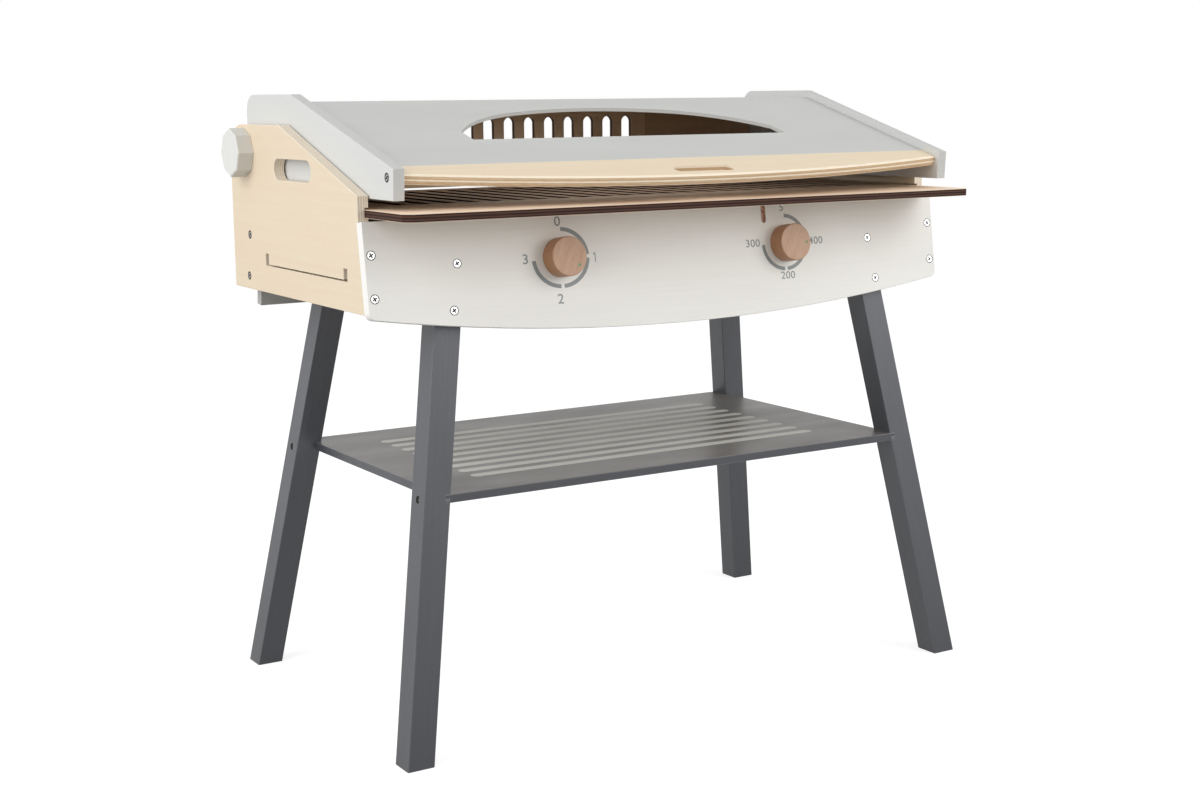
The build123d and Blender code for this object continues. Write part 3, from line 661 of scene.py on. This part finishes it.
# Bare birch plywood, cut by laser. The faces are a warm, matt tan. The cut edges are charred dark
# brown, with the plies still showing, and a brown haze lies on the faces beside the cuts. Bare wood
# is full of pores and reflects less than lacquered wood, which lowers its IOR.
def laser_cut_plywood(name, tones, board, joint=None, smoke_and_shade_from=None):
    """joint is where the darker part of the veneer starts, and the last argument where the brown of smoke and
    painted shade does.
    """
    material, tree, place = new_finish(name)
    own, through, edge = board_space(tree, place, board)
    skin, fibre = veneer(tree, own, *tones, 3.0)
    split = add_node(tree, "SeparateXYZ", {"Vector": own})
    if joint:
        start, full = joint - 0.0002, joint + 0.0002
        dark_right = {"Value": split.outputs["X"], "From Min": start, "From Max": full, "To Max": 0.45}
        dark_right = add_node(tree, "MapRange", dark_right)
        skin = add_node(tree, "Mix", {"Factor": dark_right, "A": skin, "B": linear(DARK_RIGHT_TONE)}, data_type="RGBA")
    # Brown of smoke, and a painted shade, behind the front strip
    if smoke_and_shade_from:
        start, full = smoke_and_shade_from - 0.008, smoke_and_shade_from + 0.006
        smoke_and_shade = {"Value": split.outputs["Y"], "From Min": start, "From Max": full, "To Max": 0.60}
        smoke_and_shade = add_node(tree, "MapRange", smoke_and_shade)
        skin = add_node(tree, "Mix", {"Factor": smoke_and_shade, "A": skin, "B": linear(SMOKE_AND_SHADE)}, data_type="RGBA")
    haze = arris_mask(tree, 1.2, 0.45)
    skin = add_node(tree, "Mix", {"Factor": haze, "A": skin, "B": linear(HAZE)}, data_type="RGBA")
    burnt = ply_edge(tree, own, through, board, *BURNT_PLIES)
    tone = add_node(tree, "Mix", {"Factor": edge, "A": skin, "B": burnt}, data_type="RGBA")
    dull = add_node(tree, "MapRange", {"Value": edge, "To Min": 0.60, "To Max": 0.85})
    surface(tree, tone, dull, fibre, 0.06, IOR=1.36)
    return material


grate_ply = laser_cut_plywood("laser_cut_birch_plywood_grate", GRATE_FACE, grate_board, smoke_and_shade_from=SMOKE_AND_SHADE_FROM)
dress(grate_ply, "grate_board")


# Lid
# Two cheeks, a sloping board with the window and a narrow level top, sprayed light grey like the
# window's cut edge. The sloping board and the top are painted a darker grey than the cheeks, as
# painted shade on faces that look up, and the cheeks' edges are darker, partly because they drink
# the paint and partly as painted shade. The vented board at the back is cut by laser and bare, and
# its veneer is darker right of a line. The boards lie in grooves of the cheeks.
CHEEK_PLY, SLOPE_PLY, TOP_PLY = 0.012, 0.004, 0.006
# The rim, the third tone, is darker: the edges drink the paint, and it is also a painted shade
CHEEK_GREY_AND_EDGE_SHADE = ("D1D2D0", "C8C9C7", "BABBB9")
# Painted shade: a darker grey than the cheeks' for the faces that look up
SLOPE_GREY_SHADED = ("BDBEBB", "B6B7B4", "CDCECB")
VENT_FACE = ("F6DCBC", "E3BE95", "EBC49E")
DARK_RIGHT_FROM = 0.176
window_polygons = nodes["lid_window_panel"].data.polygons
window_face = max((face for face in window_polygons if face.normal.z > 0.9), key=lambda face: face.area)
SLOPE_OUT = window_face.normal.copy()
slope_level = window_face.center.dot(SLOPE_OUT)
cheek_board = Board((0, 1, 0), (1, 0, 0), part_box("lid_cheek_right")[0].x, CHEEK_PLY, mirrored=True)
slope_board = Board((1, 0, 0), SLOPE_OUT, slope_level - SLOPE_PLY, SLOPE_PLY)
top_board = Board((1, 0, 0), (0, 0, 1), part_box("lid_top_board")[0].z, TOP_PLY)
vent_board = Board((1, 0, 0), (0, 1, 0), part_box("lid_vent_board")[0].y, TOP_PLY, 5)
cheek_paint = painted_plywood("sprayed_grey_paint_with_edge_shade_on_cheeks", CHEEK_GREY_AND_EDGE_SHADE, cheek_board)
dress(cheek_paint, "lid_cheek_left", "lid_cheek_right")
dress(painted_plywood("sprayed_grey_paint_with_painted_shade_on_slope", SLOPE_GREY_SHADED, slope_board), "lid_window_panel")
dress(painted_plywood("sprayed_grey_paint_with_painted_shade_on_top", SLOPE_GREY_SHADED, top_board), "lid_top_board")
vent_ply = laser_cut_plywood("laser_cut_birch_plywood_vents", VENT_FACE, vent_board, DARK_RIGHT_FROM)
dress(vent_ply, "lid_vent_board")


# Handle board
# A bow-fronted strip of clear birch plywood with a finger slot, cut by router and screwed between
# the cheeks along the lid's lower edge. Its plies are broader and darker than the side panels'.
HANDLE_PLY = 0.012
HANDLE_FACE, HANDLE_PLIES = ("DFD0B7", "D4C09F", "DEC9AF"), ("EFE2CB", "C3A680", "93744F")
handle_board = Board((1, 0, 0), SLOPE_OUT, slope_level - HANDLE_PLY, HANDLE_PLY, 5)
handle_birch = birch_plywood("lacquered_birch_plywood_handle", HANDLE_FACE, HANDLE_PLIES, handle_board, 5.0)
dress(handle_birch, "lid_handle_board")


# Pivot knobs
# Octagonal wooden heads, sawn, sprayed in a paler grey than the lid and glued on steel bolts. The
# bolts go through the side panels and the cheeks into flanged nuts, and carry the lid.
KNOB_GREY = ("DCDCD9", "D3D3D0", "D0CFC9")
knob_low, knob_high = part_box("pivot_knob_right")
knob_block = Board((0, 0, 1), (1, 0, 0), knob_low.x, knob_high.x - knob_low.x, mirrored=True)
knob_paint = painted_plywood("sprayed_satin_grey_paint_on_knobs", KNOB_GREY, knob_block)
dress(knob_paint, "pivot_knob_left", "pivot_knob_right")
dress(bare_zinc, "pivot_nut_left", "pivot_nut_right", "pivot_bolt_left", "pivot_bolt_right")


# Dials
# Turned from beech and oiled, and glued on spindles of the same wood, which turn in the front panel.
# A dot of green paint sits in the dimple of each face.
# The last is the turned side's tone, with painted shade
BEECH, BEECH_DEEP, FLECK, TURNED_AND_SHADED = "BB987E", "B08A6D", "96694A", "9C6C46"
GREEN, GREEN_PALE = "4F7F4B", "79A873"
# The grain's slant on the face, in degrees, and how far the face stands out from the panel
GRAIN_SLANT, DIAL_FACE = 64, 0.0205
# The dot's radius, its distance from the dial's middle and its depth in the dimple
DOT_RADIUS, DOT_PLACE, DOT_SUNK = 0.0017, 0.0146, 0.0004
DOT_TURN = {"left": -42, "right": -4}


# Oiled beech: pinkish brown with a soft sheen and short dark flecks along the grain. The flecks are
# 0.2 mm wide in the wood and are drawn three times as wide, to show. The turned side is darker,
# partly because its end grain drinks the oil and partly as a painted shade.
def oiled_beech(name):
    material, tree, place = new_finish(name)
    slanted = add_node(tree, "Mapping", {"Vector": place, "Rotation": (0, math.radians(GRAIN_SLANT), 0)})
    ring = streaks(tree, slanted, 60, 4.0, 2.0)
    ring = add_node(tree, "MapRange", {"Value": ring, "From Min": 0.30, "From Max": 0.70})
    tone = {"Factor": ring, "A": linear(BEECH), "B": linear(BEECH_DEEP)}
    tone = add_node(tree, "Mix", tone, data_type="RGBA")
    fleck = streaks(tree, slanted, 4.0, 0.6, 4.0)
    dark = add_node(tree, "MapRange", {"Value": fleck, "From Min": 0.56, "From Max": 0.70, "To Max": 0.60})
    tone = add_node(tree, "Mix", {"Factor": dark, "A": tone, "B": linear(FLECK)}, data_type="RGBA")
    facing = add_node(tree, "TexCoord").outputs["Normal"]
    front = add_node(tree, "VectorMath", {0: facing, 1: FRONT_OUT}, operation="DOT_PRODUCT")
    turned_shade = add_node(tree, "MapRange", {"Value": front, "From Min": 0.80, "From Max": 0.40, "To Max": 0.75})
    tone = add_node(tree, "Mix", {"Factor": turned_shade, "A": tone, "B": linear(TURNED_AND_SHADED)}, data_type="RGBA")
    surface(tree, tone, 0.45, fleck, 0.05, IOR=1.5)
    return material


# Green hobby paint, dabbed on by hand: a small uneven blot, a little glossier than the wood.
def dabbed_paint(name):
    material, tree, place = new_finish(name)
    dab = streaks(tree, place, 1.0, 1.0, 3.0)
    tone = {"Factor": dab, "A": linear(GREEN), "B": linear(GREEN_PALE)}
    tone = add_node(tree, "Mix", tone, data_type="RGBA")
    surface(tree, tone, 0.40, dab, 0.08, IOR=1.5)
    return material


beech = oiled_beech("oiled_beech")
dress(beech, "dial_knob_left", "dial_knob_right", "dial_spindle_left", "dial_spindle_right")
green = dabbed_paint("dabbed_green_paint")
for side, centre in DIAL_CENTRES.items():
    turn = math.radians(DOT_TURN[side])
    spot = (DOT_PLACE * math.cos(turn), DOT_PLACE * math.sin(turn), DIAL_FACE - DOT_SUNK)
    matrix = on_front(centre.x, centre.z) @ Matrix.Translation(spot)
    blot = ring_piece(0, 360, 0, DOT_RADIUS)[:24]
    print_layer("dial_dot_" + side, [blot], matrix, "dial_" + side, green)


# Studio
# A pale floor and an even white surround, with one large soft light from the left and one from the
# front right. The camera stands where the photograph was taken from.
SURROUND = 0.58
FLOOR_HALF, FLOOR_TONE = 40.0, "A4A4A4"
# The camera sees the floor glow this much and give back this share of the light, which makes it
# white but for the shadows
FLOOR_GLOW, FLOOR_SHADE = 0.77, 0.40
# Place, side and power of each light
LIGHTS = {
    "left_softbox": ((-2.4, -0.3, 1.4), 2.6, 50.0),
    "front_softbox": ((1.6, -2.1, 1.6), 2.0, 44.0),
}
CAMERA_PLACE = (-1.0945, -1.7584, 0.6731)
# Degrees to the right of straight ahead, below level and of roll, then millimetres
CAMERA_TURN, CAMERA_DIP, CAMERA_ROLL = 31.77, 9.786, -0.486
CAMERA_LENS, CAMERA_SENSOR = 53.15, 36.0
WHITE = (1, 1, 1, 1)

scene = bpy.context.scene
scene.view_settings.view_transform = "Standard"


def seen_as_background(tree):
    """1 for what the camera sees, straight or in a mirror image, and 0 for light on the object."""
    ray = add_node(tree, "LightPath").outputs
    seen = add_node(tree, "Math", {0: ray["Is Camera Ray"], 1: ray["Is Glossy Ray"]}, operation="MAXIMUM")
    return add_node(tree, "Math", {0: seen, 1: ray["Is Transmission Ray"]}, operation="MAXIMUM")


world = bpy.data.worlds.new("white_surround")
scene.world = world
world.use_nodes = True
world.node_tree.nodes.clear()
seen = seen_as_background(world.node_tree)
level = add_node(world.node_tree, "MapRange", {"Value": seen, "To Min": SURROUND, "To Max": 1.0})
glow = add_node(world.node_tree, "Background", {"Color": WHITE, "Strength": level})
add_node(world.node_tree, "OutputWorld", {"Surface": glow})

floor_finish, floor_tree, _ = new_finish("matt_pale_floor")
plain = add_node(floor_tree, "BsdfDiffuse", {"Color": linear(FLOOR_TONE)})
shaded = add_node(floor_tree, "BsdfDiffuse", {"Color": (FLOOR_SHADE, FLOOR_SHADE, FLOOR_SHADE, 1)})
white = add_node(floor_tree, "Emission", {"Color": WHITE, "Strength": FLOOR_GLOW})
bright = add_node(floor_tree, "AddShader", {0: shaded, 1: white})
both = add_node(floor_tree, "MixShader", {0: seen_as_background(floor_tree), 1: plain, 2: bright})
add_node(floor_tree, "OutputMaterial", {"Surface": both})
corners = [(x * FLOOR_HALF, y * FLOOR_HALF, 0) for x, y in ((-1, -1), (1, -1), (1, 1), (-1, 1))]
floor_mesh = bpy.data.meshes.new("floor")
floor_mesh.from_pydata(corners, [], [(0, 1, 2, 3)])
floor_mesh.materials.append(floor_finish)
floor = bpy.data.objects.new("floor", floor_mesh)
scene.collection.objects.link(floor)

target = (cad_low + cad_high) / 2
for name, (place, size, power) in LIGHTS.items():
    lamp = bpy.data.lights.new(name, "AREA")
    lamp.shape = "SQUARE"
    lamp.size = size
    lamp.energy = power
    light = bpy.data.objects.new(name, lamp)
    light.location = place
    light.rotation_mode = "QUATERNION"
    light.rotation_quaternion = (target - Vector(place)).to_track_quat("-Z", "Y")
    scene.collection.objects.link(light)

turn, dip = math.radians(CAMERA_TURN), math.radians(CAMERA_DIP)
looks = Vector((math.sin(turn) * math.cos(dip), math.cos(turn) * math.cos(dip), -math.sin(dip)))
upright = looks.to_track_quat("-Z", "Y").to_matrix()
rolled = upright @ Matrix.Rotation(math.radians(CAMERA_ROLL), 3, "Z")
camera_data = bpy.data.cameras.new("camera")
camera_data.lens = CAMERA_LENS
camera_data.sensor_width = CAMERA_SENSOR
camera = bpy.data.objects.new("camera", camera_data)
camera.matrix_world = Matrix.Translation(CAMERA_PLACE) @ rolled.to_4x4()
scene.collection.objects.link(camera)
scene.camera = camera
